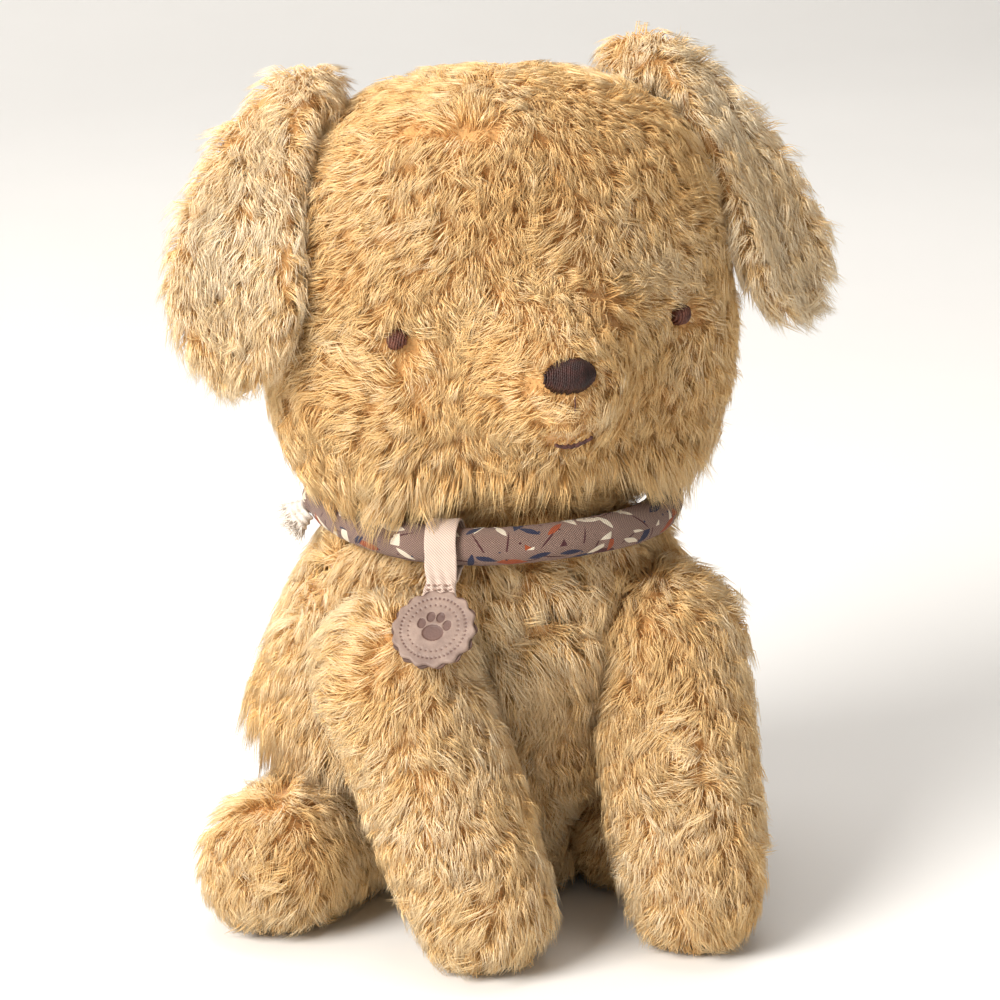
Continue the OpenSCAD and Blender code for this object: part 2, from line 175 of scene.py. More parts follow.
def backing_material():
    """The knitted cloth that the pile grows from."""
    mat, tree, bsdf = shader("knitted_backing", 0.9, Sheen_Weight=0.3)
    at = place(tree)
    knit = add(tree, "TexVoronoi", {"feature": "F1"}, Vector=at, Scale=900.0).outputs["Distance"]
    patch = noise_of(tree, at, 55.0)
    # The colour follows the knit's height, darker in its pits: painted shade.
    colour = ramp(tree, maths(tree, "MULTIPLY_ADD", knit, 0.35), [
        (0.0, srgb(168, 112, 56)), (0.45, srgb(204, 150, 88)), (1.0, srgb(226, 178, 116))])
    shade = ramp(tree, patch, [(0.3, grey(0.75)), (0.7, grey(1.0))])
    paint(tree, bsdf, mixed_colour(tree, 1.0, colour, shade, "MULTIPLY"))
    bump(tree, bsdf, knit, 0.6, 0.0006)
    return mat


def thread_material(name, dark, light, roughness):
    """Embroidery thread: two twisted plies and small changes of shade along it."""
    mat, tree, bsdf = shader(name, roughness)
    at = place(tree)
    ply = add(tree, "TexWave", {"wave_type": "BANDS", "bands_direction": "DIAGONAL"},
              Vector=at, Scale=520.0, Distortion=1.5, Detail=1.0).outputs["Fac"]
    shade = ramp(tree, noise_of(tree, at, 420.0), [(0.3, dark), (0.7, light)])
    paint(tree, bsdf, shade)
    tree.links.new(maths(tree, "MULTIPLY_ADD", ply, 0.2, roughness), bsdf.inputs["Roughness"])
    bump(tree, bsdf, ply, 0.5, 0.0002)
    return mat


def woven(tree, uv, pairs_per_mm):
    """Height of a plain weave, each thread a little uneven. Two threads make one wave."""
    turn = pairs_per_mm * math.tau
    split = add(tree, "SeparateXYZ", Vector=uv)
    slub = maths(tree, "MULTIPLY", noise_of(tree, uv, 0.9, 2.0), 3.0)
    u = maths(tree, "ADD", maths(tree, "MULTIPLY", split.outputs[0], turn), slub)
    v = maths(tree, "ADD", maths(tree, "MULTIPLY", split.outputs[1], turn), slub)
    return maths(tree, "MULTIPLY", maths(tree, "SINE", u), maths(tree, "SINE", v))


def vector_maths(tree, operation, a, **sockets):
    return add(tree, "VectorMath", {"operation": operation}, i0=a, **sockets).outputs[0]


def print_layer(tree, below, uv, cell, length, width, stops, share, shift):
    """Scatters leaf shapes over the cloth, one in each cell that takes part.

    Cell, half length and half width are in millimetres, and share is how many cells take part.
    """
    moved = vector_maths(tree, "ADD", uv, i1=(shift, shift * 0.7, 0.0))
    scaled = vector_maths(tree, "SCALE", moved, Scale=1.0 / cell)
    cells = add(tree, "TexVoronoi", {"feature": "F1", "voronoi_dimensions": "2D"},
                Vector=scaled, Scale=1.0, Randomness=0.75)
    local = vector_maths(tree, "SUBTRACT", scaled, i1=cells.outputs["Position"])
    pick = add(tree, "SeparateColor", Color=cells.outputs["Color"])
    turned = add(tree, "VectorRotate", {"rotation_type": "Z_AXIS"}, Vector=local,
                 Angle=maths(tree, "MULTIPLY", pick.outputs[0], math.tau)).outputs[0]
    xyz = add(tree, "SeparateXYZ", Vector=turned)
    along = maths(tree, "DIVIDE", xyz.outputs[0], length / cell)
    narrowing = maths(tree, "SUBTRACT", 1.0, maths(tree, "MULTIPLY", along, along))
    half = maths(tree, "MULTIPLY", narrowing, width / cell)
    inside = maths(tree, "GREATER_THAN", half, maths(tree, "ABSOLUTE", xyz.outputs[1]))
    mask = maths(tree, "MULTIPLY", inside, maths(tree, "LESS_THAN", pick.outputs[1], share))
    return mixed_colour(tree, mask, below, ramp(tree, pick.outputs[2], stops, constant=True))


def printed_material():
    """Mauve-taupe cotton printed with cream leaves, navy, rust and maroon shapes, stems and small dots."""
    mat, tree, bsdf = shader("printed_cotton", 0.88, Sheen_Weight=0.08)
    uv = on_cloth(tree)
    cream, navy = srgb(236, 224, 204), srgb(26, 32, 66)
    rust, maroon = srgb(160, 70, 26), srgb(72, 24, 30)
    weave = woven(tree, uv, 1.3)
    # The cloth's colour follows the weave's height, darker in its hollows: painted shade.
    cloth = ramp(tree, maths(tree, "MULTIPLY_ADD", weave, 0.5, 0.5), [
        (0.0, srgb(84, 62, 55)), (0.5, srgb(132, 104, 93)), (1.0, srgb(182, 154, 140))])
    stems = dict(cell=11.0, length=5.2, width=0.28, share=0.75, shift=3.1,
                 stops=[(0.0, maroon), (0.6, maroon)])
    leaves = dict(cell=12.0, length=4.6, width=1.5, share=0.8, shift=9.7,
                  stops=[(0.0, cream), (0.55, rust), (0.75, navy), (0.88, maroon)])
    small_leaves = dict(cell=9.0, length=3.4, width=1.0, share=0.5, shift=17.3,
                        stops=[(0.0, navy), (0.35, cream), (0.75, rust)])
    dots = dict(cell=3.2, length=0.45, width=0.4, share=0.22, shift=5.9,
                stops=[(0.0, navy), (0.5, maroon)])
    for layer in (stems, leaves, small_leaves, dots):
        cloth = print_layer(tree, cloth, uv, **layer)
    paint(tree, bsdf, cloth)
    bump(tree, bsdf, weave, 0.7, 0.0004)
    return mat


def twill_material():
    mat, tree, bsdf = shader("twill_tape", 0.82, Sheen_Weight=0.3)
    uv = on_cloth(tree)
    ridge = add(tree, "TexWave", {"wave_type": "BANDS", "bands_direction": "DIAGONAL"},
                Vector=uv, Scale=0.62, Distortion=0.6, Detail=2.0).outputs["Fac"]
    # The tape's colour follows its twill ridges, darker in the grooves: painted shade.
    shade = ramp(tree, ridge, [
        (0.0, srgb(178, 154, 140)), (0.6, srgb(212, 190, 176)), (1.0, srgb(226, 206, 194))])
    paint(tree, bsdf, shade)
    bump(tree, bsdf, ridge, 0.6, 0.0003)
    return mat


def leather_material(name, low, high):
    """Embossed faux leather with a fine grain and worn, paler high spots."""
    mat, tree, bsdf = shader(name, 0.55, Coat_Weight=0.08, Coat_Roughness=0.4)
    at = place(tree)
    grain = add(tree, "TexVoronoi", {"feature": "DISTANCE_TO_EDGE"}, Vector=at,
                Scale=1100.0).outputs["Distance"]
    cloud = noise_of(tree, at, 160.0)
    paint(tree, bsdf, ramp(tree, cloud, [(0.3, low), (0.7, high)]))
    tree.links.new(ramp(tree, cloud, [(0.3, grey(0.5)), (0.7, grey(0.66))]), bsdf.inputs["Roughness"])
    bump(tree, bsdf, grain, 0.35, 0.0002)
    return mat


def fibre_material(name, low, high, scale=600.0, roughness=0.9):
    mat, tree, bsdf = shader(name, roughness, Sheen_Weight=0.35)
    at = place(tree)
    fibre = noise_of(tree, at, scale, 4.0, 0.7)
    paint(tree, bsdf, ramp(tree, fibre, [(0.3, low), (0.7, high)]))
    bump(tree, bsdf, fibre, 0.5, 0.0005)
    return mat


pile = [pile_material(i) for i in range(PILE_SHADES)]
backing = backing_material()
nose_thread = thread_material("nose_thread", srgb(30, 10, 8), srgb(62, 26, 20), 0.5)
eye_thread = thread_material("eye_thread", srgb(70, 34, 26), srgb(112, 66, 50), 0.5)
mouth_thread = thread_material("mouth_thread", srgb(62, 34, 32), srgb(98, 62, 56), 0.6)
printed = printed_material()
twill = twill_material()
tag_skin = leather_material("tag_leather", srgb(122, 100, 91), srgb(160, 138, 126))
# A darker leather colour for the embossed hollows.
tag_hollow_colour = leather_material("tag_embossing", srgb(88, 62, 56), srgb(110, 82, 74))
tag_reverse = leather_material("tag_reverse", srgb(76, 52, 44), srgb(104, 76, 66))
frayed = fibre_material("frayed_cotton", srgb(196, 184, 172), srgb(244, 238, 230))
cord_cotton = fibre_material("cord_cotton", srgb(214, 206, 192), srgb(240, 234, 222))
bag_cloth = fibre_material("bag_cloth", srgb(206, 200, 186), srgb(232, 226, 214), 900.0)
pellet_plastic = fibre_material("plastic_pellets", srgb(214, 214, 208), srgb(240, 240, 236), 300.0, 0.4)
label_cloth = fibre_material("satin_label", srgb(232, 230, 226), srgb(250, 249, 247), 900.0, 0.5)
tape_thread = thread_material("tape_thread", srgb(120, 92, 80), srgb(160, 130, 116), 0.6)


# -------- mesh helpers

def linked(name, data):
    obj = bpy.data.objects.new(name, data)
    scene.collection.objects.link(obj)
    return obj


def smooth(mesh):
    mesh.polygons.foreach_set("use_smooth", np.full(len(mesh.polygons), True))
    mesh.update()


def new_object(name, verts, faces, materials, indices=None, uv=None):
    """A smooth-shaded mesh object. Indices give each face's material, and uv each corner's place."""
    mesh = bpy.data.meshes.new(name)
    mesh.from_pydata([tuple(v) for v in verts], [], [tuple(f) for f in faces])
    for mat in materials:
        mesh.materials.append(mat)
    if indices is not None:
        mesh.polygons.foreach_set("material_index", np.asarray(indices, np.int32))
    if uv is not None:
        layer = mesh.uv_layers.new(name="cloth")
        layer.data.foreach_set("uv", np.asarray(uv, np.float32).ravel())
    smooth(mesh)
    return linked(name, mesh)


def arrays(mesh):
    """Corner points, triangles and point normals of a mesh."""
    mesh.calc_loop_triangles()
    points = np.empty(len(mesh.vertices) * 3)
    mesh.vertices.foreach_get("co", points)
    triangles = np.empty(len(mesh.loop_triangles) * 3, np.int32)
    mesh.loop_triangles.foreach_get("vertices", triangles)
    normals = np.empty(len(mesh.vertices) * 3)
    mesh.vertices.foreach_get("normal", normals)
    return points.reshape(-1, 3), triangles.reshape(-1, 3), normals.reshape(-1, 3)


def points_of(mesh):
    return np.array([v.co for v in mesh.vertices], float)


def tree_of(mesh):
    points, triangles, _ = arrays(mesh)
    return BVHTree.FromPolygons([Vector(p) for p in points], [tuple(t) for t in triangles])


def joined(names):
    """The points and faces of several CAD nodes together."""
    meshes = [nodes[name].data for name in names]
    return many([([tuple(v.co) for v in m.vertices], [p.vertices for p in m.polygons]) for m in meshes])


def unit(v):
    return v / np.maximum(np.linalg.norm(v, axis=-1, keepdims=True), 1e-12)


def outward(points):
    """Level directions away from the upright line through the frame's origin."""
    return unit(points * np.array([1, 1, 0]))


def middle_of(node):
    low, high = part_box(node)
    return np.array((low + high) / 2)


def tube(path, radii, sides):
    """Points and faces of a closed tube along a path."""
    path = np.asarray(path, float)
    radii = np.broadcast_to(np.asarray(radii, float), (len(path),))
    along = unit(np.gradient(path, axis=0))
    upright = abs(along[0] @ UP) > 0.9
    side = unit(np.cross(along[0], np.array([1.0, 0.0, 0.0]) if upright else UP))
    verts, faces = [], []
    for i, p in enumerate(path):
        side = unit(side - along[i] * (side @ along[i]))
        other = np.cross(along[i], side)
        for k in range(sides):
            a = math.tau * k / sides
            verts.append(p + radii[i] * (math.cos(a) * side + math.sin(a) * other))
    for i in range(len(path) - 1):
        for k in range(sides):
            a, b = i * sides + k, i * sides + (k + 1) % sides
            faces.append((a, b, b + sides, a + sides))
    faces.append(tuple(reversed(range(sides))))
    faces.append(tuple((len(path) - 1) * sides + k for k in range(sides)))
    return verts, faces


def many(parts):
    """Several (points, faces) sets as one."""
    verts, faces = [], []
    for v, f in parts:
        start = len(verts)
        verts += list(v)
        faces += [tuple(start + i for i in g) for g in f]
    return verts, faces


# -------- skins, blown up by their filling

CLOTH = {"quality": 5, "mass": 0.3, "use_pressure": True, "uniform_pressure_force": 4.0,
         "tension_stiffness": 15.0, "compression_stiffness": 15.0, "bending_stiffness": 0.5}
CLOTH_FRAMES = 20
SEAM_REACH = 0.0028
SEAT_HEIGHT = 0.004


def largest_part(mesh):
    """Keeps the outer shell of a remeshed solid."""
    bm = bmesh.new()
    bm.from_mesh(mesh)
    left, best = set(bm.verts), []
    while left:
        start = left.pop()
        found, edge = [start], [start]
        while edge:
            v = edge.pop()
            for e in v.link_edges:
                w = e.other_vert(v)
                if w in left:
                    left.remove(w)
                    found.append(w)
                    edge.append(w)
        if len(found) > len(best):
            best = found
    keep = set(best)
    bmesh.ops.delete(bm, geom=[v for v in bm.verts if v not in keep], context="VERTS")
    bm.to_mesh(mesh)
    bm.free()


def evaluated(obj):
    bpy.context.view_layer.update()
    graph = bpy.context.evaluated_depsgraph_get()
    return bpy.data.meshes.new_from_object(obj.evaluated_get(graph), depsgraph=graph)


def give(mesh, mat):
    mesh.materials.clear()
    mesh.materials.append(mat)


def remesh(obj, voxel, soften, mat):
    """Makes one evenly meshed, softened surface of an object's parts."""
    even = obj.modifiers.new("even", "REMESH")
    even.mode = "VOXEL"
    even.voxel_size = voxel
    obj.modifiers.new("soft", "SMOOTH").iterations = soften
    mesh = evaluated(obj)
    obj.modifiers.clear()
    obj.data = mesh
    give(mesh, mat)
    return mesh


def blown(obj, seam, cap):
    """Inflates a skin with its seams held, and applies the result, no point moving past the cap."""
    group = obj.vertex_groups.new(name="seams")
    for index, weight in enumerate(seam):
        group.add([index], float(weight), "REPLACE")
    before = points_of(obj.data)
    cloth = obj.modifiers.new("filling", "CLOTH")
    for key, value in CLOTH.items():
        setattr(cloth.settings, key, value)
    cloth.settings.effector_weights.gravity = 0.0
    cloth.settings.vertex_group_mass = "seams"
    cloth.collision_settings.use_collision = False
    cloth.collision_settings.use_self_collision = False
    for step in range(1, CLOTH_FRAMES + 1):
        scene.frame_set(step)
    mesh = evaluated(obj)
    scene.frame_set(1)
    obj.modifiers.clear()
    move = points_of(mesh) - before
    size = np.linalg.norm(move, axis=1, keepdims=True)
    move *= np.minimum(1.0, cap / np.maximum(size, 1e-9))
    bpy.data.meshes.remove(mesh)
    obj.data.vertices.foreach_set("co", (before + move).ravel())
    obj.data.update()


skins, panels_of = {}, {}


def skin(body, panels, others, voxel, cap=0.0016, soften=4):
    """A stuffed skin made from a body's CAD panels and filling, replacing them."""
    name = f"{body}_skin"
    verts, faces = joined(panels + others)
    obj = new_object(name, verts, faces, [backing])
    mesh = remesh(obj, voxel, soften, backing)
    largest_part(mesh)
    trees = [tree_of(nodes[p].data) for p in panels]
    seam = []
    for v in mesh.vertices:
        near = sorted((t.find_nearest(v.co)[3] or 1.0) for t in trees)
        at_seam = len(near) > 1 and near[1] < SEAM_REACH
        seam.append(1.0 if at_seam or v.co.z < SEAT_HEIGHT else 0.0)
    blown(obj, seam, cap)
    smooth(mesh)
    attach(obj, body)
    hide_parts(*panels, *others)
    skins[body], panels_of[body] = obj, panels


def two_panels(body):
    return [f"{body}_outer_panel", f"{body}_inner_panel"]


skin("head", ["head_face_panel", "head_left_panel", "head_right_panel", "head_back_panel"],
     ["head_filling"], voxel=0.0034)
skin("torso", ["torso_front_panel", "torso_back_left_panel", "torso_back_right_panel",
               "torso_base_panel"], ["torso_filling"], voxel=0.0036)
for side in ("left", "right"):
    for kind in ("front", "hind"):
        leg = f"{kind}_leg_{side}"
        skin(leg, two_panels(leg), [f"{leg}_filling"], voxel=0.003)
    ear = f"ear_{side}"
    skin(ear, two_panels(ear), [], voxel=0.0019, cap=0.0008, soften=3)
skin("tail", ["tail_left_panel", "tail_right_panel"], ["tail_filling"], voxel=0.0024)
skin("neck", ["neck_filling"], [], voxel=0.003)


# -------- face embroidery

head_tree = tree_of(skins["head"].data)
head_middle = middle_of("head_filling")


class Patch:
    """A small oval area on the head, with its own across and up directions."""

    def __init__(self, node):
        self.middle = middle_of(node)
        found = head_tree.find_nearest(Vector(self.middle))
        self.out = unit(np.array(found[1]))
        self.across = unit(np.cross(UP, self.out))
        self.up = np.cross(self.out, self.across)
        points = points_of(nodes[node].data) - self.middle
        self.half_w = float(np.abs(points @ self.across).max())
        self.half_h = float(np.abs(points @ self.up).max())

    def at(self, u, v, height):
        """The point over the skin at (u, v) metres from the middle."""
        above = 0.02
        start = self.middle + self.across * u + self.up * v + self.out * above
        hit = head_tree.ray_cast(Vector(start), Vector(-self.out))
        base = np.array(hit[0]) if hit[0] is not None else start - self.out * above
        return base + self.out * height

    def place_of(self, points):
        d = points - self.middle
        return d @ self.across, d @ self.up, d @ self.out


def stitched_oval(name, node, patch, raised, pitch, thread_r, slant, material, rows):
    """A padded oval covered by satin stitches, a pitch apart, each with this many rows of points."""
    half_w, half_h = patch.half_w, patch.half_h

    def dome_height(f):
        return raised * math.sqrt(max(0.0, 1 - f ** 2.6))

    parts = []
    rings, spokes, inset = 6, 28, 0.97
    dome = [patch.at(0, 0, raised)]
    for r in range(1, rings + 1):
        for k in range(spokes):
            a, f = math.tau * k / spokes, r / rings
            height = dome_height(f) - 0.0006 * (f == 1)
            dome.append(patch.at(half_w * f * math.cos(a) * inset, half_h * f * math.sin(a) * inset, height))
    dome.append(patch.at(0, 0, -0.0012))
    faces = [(0, 1 + k, 1 + (k + 1) % spokes) for k in range(spokes)]
    for r in range(rings - 1):
        for k in range(spokes):
            a, b = 1 + r * spokes + k, 1 + r * spokes + (k + 1) % spokes
            faces.append((a, a + spokes, b + spokes, b))
    last = 1 + (rings - 1) * spokes
    faces += [(last + (k + 1) % spokes, last + k, len(dome) - 1) for k in range(spokes)]
    parts.append((dome, faces))
    count = int(2 * half_w / pitch)
    for i in range(count):
        u = -half_w + (i + 0.5) * 2 * half_w / count
        reach = half_h * math.sqrt(max(0.02, 1 - (u / half_w) ** 2)) * (1 + rng.normal(0, 0.05))
        path = []
        for j in range(rows):
            v = -reach + 2 * reach * j / (rows - 1)
            f = min(1.0, math.hypot(u / half_w, v / half_h))
            height = dome_height(f) + thread_r * 0.5 - 0.0007 * (j in (0, rows - 1))
            path.append(patch.at(u + slant * v + rng.normal(0, thread_r * 0.16), v, height))
        parts.append(tube(path, thread_r * rng.uniform(0.88, 1.1), 6))
    verts, faces = many(parts)
    obj = new_object(name, verts, faces, [material])
    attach(obj, "head")
    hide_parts(node)


nose = Patch("nose_stitching")
eyes = {side: Patch(f"eye_{side}_stitching") for side in ("left", "right")}
mouth = Patch("mouth_stitching")
nose.half_h *= 0.84
stitched_oval("nose_threads", "nose_stitching", nose, raised=0.0046, pitch=0.00055, thread_r=0.0004,
              slant=0.12, material=nose_thread, rows=11)
for side, patch in eyes.items():
    patch.middle = patch.middle + patch.across * 0.0012 - patch.up * 0.0004
    patch.half_w *= 0.88
    stitched_oval(f"eye_{side}_threads", f"eye_{side}_stitching", patch, raised=0.0036, pitch=0.00075,
                  thread_r=0.00042, slant=0.2, material=eye_thread, rows=9)


SMILE_SHIFT = 0.0016


def mouth_line(f):
    """A point of the smile, f from -1 to 1, as (across, up) from the middle of the mouth's box."""
    return f * mouth.half_w + SMILE_SHIFT, -mouth.half_h + 0.0010 + 0.0016 * f * f + 0.0007 * f


stitches = []
for i in range(6):
    a, b = -1 + i / 3, -1 + (i + 1.25) / 3
    path = []
    for j in range(6):
        u, v = mouth_line(a + (min(b, 1.0) - a) * j / 5)
        height = 0.0046 + 0.0005 * math.sin(math.pi * j / 5)
        path.append(mouth.at(u, v + rng.normal(0, 0.00006), height))
    stitches.append(tube(path, 0.0007 - 0.0002 * abs((a + b) / 2), 7))
line = [mouth.at(rng.normal(0, 0.00008), mouth.half_h * (0.55 + 0.6 * j / 5), 0.003) for j in range(6)]
stitches.append(tube(line, 0.00024, 6))
verts, faces = many(stitches)
smile = new_object("mouth_threads", verts, faces, [mouth_thread])
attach(smile, "head")
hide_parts("mouth_stitching")


# -------- collar

sleeve_low, sleeve_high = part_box("collar_sleeve")
collar_z = (sleeve_low.z + sleeve_high.z) / 2
collar_tube = (sleeve_high.z - sleeve_low.z) / 2
collar_r = (sleeve_high.x - sleeve_low.x) / 2 - collar_tube
swing = joints["tag_swing"]
swing_at = np.array(swing["pos_m"], float)


def waves(a, seed, count, top):
    """A smooth periodic wobble of an angle: count waves of up to top periods."""
    source = np.random.default_rng(seed)
    total = np.zeros_like(a)
    for _ in range(count):
        total += source.uniform(0.4, 1.0) * np.sin(source.integers(3, top) * a + source.uniform(0, math.tau))
    return total / count


def collar_piece():
    """The printed tube, creased along its length, with a puckered seam at its inner side."""
    rings, sides = 420, 28
    verts, uvs, faces = [], [], []
    turn = np.linspace(0, math.tau, rings, endpoint=False)
    sag = 0.0012 * waves(turn, 3, 4, 6)
    wide = 0.0004 * waves(turn, 5, 4, 9)
    crease = waves(turn, 7, 10, 90)
    for i, a in enumerate(turn):
        for k in range(sides):
            b = math.tau * k / sides
            fold = 0.00055 * crease[i] * (0.6 + 0.4 * math.sin(3 * b + 9 * a))
            pucker = -0.0007 * math.exp(-((b - math.pi) / 0.12) ** 2) * (1 + 0.5 * math.sin(110 * a))
            r = collar_tube + fold + pucker - 0.0002
            reach = collar_r + wide[i] + r * math.cos(b)
            verts.append((reach * math.cos(a), reach * math.sin(a), collar_z + sag[i] + r * math.sin(b)))
    for i in range(rings):
        j = (i + 1) % rings
        for k in range(sides):
            m = (k + 1) % sides
            faces.append((i * sides + k, j * sides + k, j * sides + m, i * sides + m))
            for p, q in ((i, k), (i + 1, k), (i + 1, k + 1), (i, k + 1)):
                uvs.append((p / rings * math.tau * collar_r / MM, q / sides * math.tau * collar_tube / MM))
    obj = new_object("collar_fabric", verts, faces, [printed], uv=uvs)
    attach(obj, "collar")
    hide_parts("collar_sleeve")
    return obj


collar = collar_piece()


def knot_piece():
    """The sleeve's two ends knotted: two fat turns round the joint of the collar."""
    low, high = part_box("collar_knot")
    middle = middle_of("collar_knot")
    half_high = float(high.z - low.z) / 2
    out = outward(middle)
    side = np.cross(UP, out)
    loop_r = half_high * 0.52
    steps = 34
    parts, uvs = [], []
    for turns, phase, fat in ((1.15, 0.0, 0.46), (0.9, 2.2, 0.42)):
        path = []
        for t in np.linspace(0, 1, steps):
            a = phase + math.tau * turns * t
            bulge = 0.0016 * math.sin(2 * a + phase)
            path.append(middle + out * (math.cos(a) * loop_r) + UP * (math.sin(a) * loop_r)
                        + side * ((t - 0.5) * half_high * 0.7 + bulge))
        crease = 1 + 0.07 * waves(np.linspace(0, math.tau, steps), int(turns * 100), 5, 14)
        parts.append(tube(path, half_high * fat * crease, 16))
    verts, faces = many(parts)
    for f in faces:
        for i in f:
            v = verts[i] - middle
            uvs.append((float(v @ side) / MM + 30, (float(v @ out) + float(v[2])) / MM))
    obj = new_object("collar_knot_fabric", verts, faces, [printed], uv=uvs)
    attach(obj, "collar")
    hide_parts("collar_knot")


def frayed_end(name, node):
    """A torn end of the sleeve: crumpled cloth that opens into loose threads."""
    points = points_of(nodes[node].data)
    middle = points.mean(0)
    _, _, axes = np.linalg.svd(points - middle, full_matrices=False)
    way = axes[0] * np.sign(axes[0] @ (middle - middle_of("collar_knot")))
    spread = (points - middle) @ way
    start, end = middle + way * spread.min(), middle + way * spread.max()
    wide = np.abs((points - middle) @ axes[1]).max()
    t = np.linspace(0, 1, 14)
    path = [start + (end - start) * (x * 0.62) for x in t]
    parts = [tube(path, wide * (0.52 + 0.3 * t + 0.08 * np.sin(19 * t)), 14)]
    reach = float(np.linalg.norm(end - start))
    loose_threads = 90
    for _ in range(loose_threads):
        a, r = rng.uniform(0, math.tau), wide * math.sqrt(rng.uniform(0, 1)) * 0.95
        off = axes[1] * math.cos(a) * r + axes[2] * math.sin(a) * r
        bend = (axes[1] * rng.normal(0, 0.3) + axes[2] * rng.normal(0, 0.3)) * reach * 0.4
        long = rng.uniform(0.75, 1.05)
        line = [start + way * reach * (0.45 + (long - 0.45) * s) + off * (0.7 + 0.5 * s) + bend * s * s
                for s in np.linspace(0, 1, 6)]
        parts.append(tube(line, np.linspace(0.00028, 0.00012, 6), 4))
    verts, faces = many(parts)
    obj = new_object(name, verts, faces, [frayed])
    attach(obj, "collar")
    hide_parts(node)


knot_piece()
frayed_end("frayed_end_lower", "collar_end_lower")
frayed_end("frayed_end_upper", "collar_end_upper")


# -------- tape and tag

def tape_piece():
    """The twill tape as cut and sewn: the CAD loop with woven edges, creases and a puckered seam."""
    verts, faces = joined(["tag_tape"])
    obj = new_object("tag_tape_twill", verts, faces, [twill])
    mesh = remesh(obj, 0.00035, 2, twill)
    points, _, normals = arrays(mesh)
    axis = np.array(swing["axis"], float)
    out = outward(swing_at)
    u = (points - swing_at) @ axis / MM
    drop = (collar_z - points[:, 2]) / MM
    reach = (points - swing_at) @ out / MM
    path = np.hypot(drop, reach)
    crease = 0.45 * np.sin(1.9 * u + 0.8 * path) * np.exp(-((path - 15.5) / 4.0) ** 2)
    crease += 0.05 * np.sin(2.3 * path + u)
    pucker = -0.4 * np.exp(-((path - 13.0) / 0.7) ** 2) - 0.2 * np.exp(-((path - 17.6) / 0.7) ** 2)
    points += normals * ((crease + pucker * (np.abs(u) < 4.6)) * MM)[:, None]
    mesh.vertices.foreach_set("co", points.ravel())
    layer = mesh.uv_layers.new(name="cloth")
    loops = np.empty(len(mesh.loops), np.int32)
    mesh.loops.foreach_get("vertex_index", loops)
    uv = np.stack([u[loops], (drop + reach)[loops]], 1)
    layer.data.foreach_set("uv", uv.astype(np.float32).ravel())
    smooth(mesh)
    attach(obj, "tag")
    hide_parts("tag_tape")
    return obj


tape = tape_piece()

tag_points = points_of(nodes["tag_front"].data)
tag_middle = tag_points.mean(0)
_, _, tag_axes = np.linalg.svd(tag_points - tag_middle, full_matrices=False)
tag_out = tag_axes[2] * np.sign(tag_axes[2] @ outward(swing_at))
tag_across = unit(np.cross(UP, tag_out))
tag_up = np.cross(tag_out, tag_across)
tag_r = float(np.abs((tag_points - tag_middle) @ tag_across).max())
tag_half_t = float(np.abs((tag_points - tag_middle) @ tag_out).max())
SCALLOPS = 14
# Two rings of dots: how many, then in millimetres their radius and depth, and how wide a dot is (squared).
DOT_RINGS = ((48, 10.0, 0.35, 0.12), (30, 7.7, 0.30, 0.10))
# The paw's pads in millimetres: middle, half width and half height.
PADS = [(0.0, -1.6, 3.1, 2.5)]
PADS += [(x, y, 1.25, 1.6) for x, y in ((-3.9, 1.2), (-1.5, 3.6), (1.5, 3.6), (3.9, 1.2))]
PAD_DEPTH = 0.38
# Faces deeper than this, in millimetres, take the darker colour of the embossed hollows.
HOLLOW_COLOUR_DEPTH = 0.14


def emboss(x, y, r, a):
    """Depth in millimetres below the tag's face."""
    deep = 0.0
    for dots, ring_r, depth, wide in DOT_RINGS:
        along = ((a / math.tau * dots + 0.5) % 1 - 0.5) * math.tau * ring_r / dots
        deep = max(deep, depth * math.exp(-((along ** 2 + (r - ring_r) ** 2) / wide)))
    for px, py, pw, ph in PADS:
        e = math.hypot((x - px) / pw, (y - py) / ph)
        deep = max(deep, PAD_DEPTH * min(1.0, max(0.0, (1.12 - e) / 0.18)))
    return deep


def tag_piece():
    """The scalloped leather tag, embossed with rings of dots and a plain paw print, a little curled."""
    rings, spokes = 56, 280
    thick = tag_half_t / MM
    verts, faces, ids, depths = [], [], [], []

    def tag_point(x, y, z):
        return tag_middle + (tag_across * x + tag_up * y + tag_out * z) * MM

    def rim(a):
        return tag_r / MM * (0.965 + 0.035 * math.cos(SCALLOPS * a))

    def curl(a, f):
        return 0.35 * math.sin(a * 2 + 0.6) * f * f

    for r in range(rings + 1):
        f = r / rings
        for k in range(spokes):
            a = math.tau * k / spokes
            radius = f * rim(a)
            x, y = radius * math.cos(a), radius * math.sin(a)
            edge = 0.45 * max(0.0, (f - 0.95) / 0.05) ** 2
            deep = emboss(x, y, radius, a)
            depths.append(deep)
            verts.append(tag_point(x, y, thick - deep - edge + curl(a, f)))
    back = len(verts)
    for k in range(spokes):
        a = math.tau * k / spokes
        verts.append(tag_point(rim(a) * math.cos(a), rim(a) * math.sin(a), -thick + curl(a, 1)))
    verts.append(tag_point(0, 0, -thick))
    for r in range(rings):
        for k in range(spokes):
            a, b = r * spokes + k, r * spokes + (k + 1) % spokes
            faces.append((a, a + spokes, b + spokes, b))
            ids.append(1 if depths[a] > HOLLOW_COLOUR_DEPTH else 0)
    last = rings * spokes
    for k in range(spokes):
        m = (k + 1) % spokes
        faces.append((last + k, back + k, back + m, last + m))
        faces.append((back + m, back + k, back + spokes))
        ids += [0, 0]
    obj = new_object("tag_leather_face", verts, faces, [tag_skin, tag_hollow_colour], ids)
    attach(obj, "tag")
    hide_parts("tag_front")
    return obj


tag = tag_piece()
KEPT_NODES = {"collar_cord": cord_cotton, "tag_backing": tag_reverse, "tag_tape_stitches": tape_thread,
              "care_label": label_cloth, "pellet_bag": bag_cloth, "pellet_fill": pellet_plastic}
for name, mat in KEPT_NODES.items():
    give(nodes[name].data, mat)


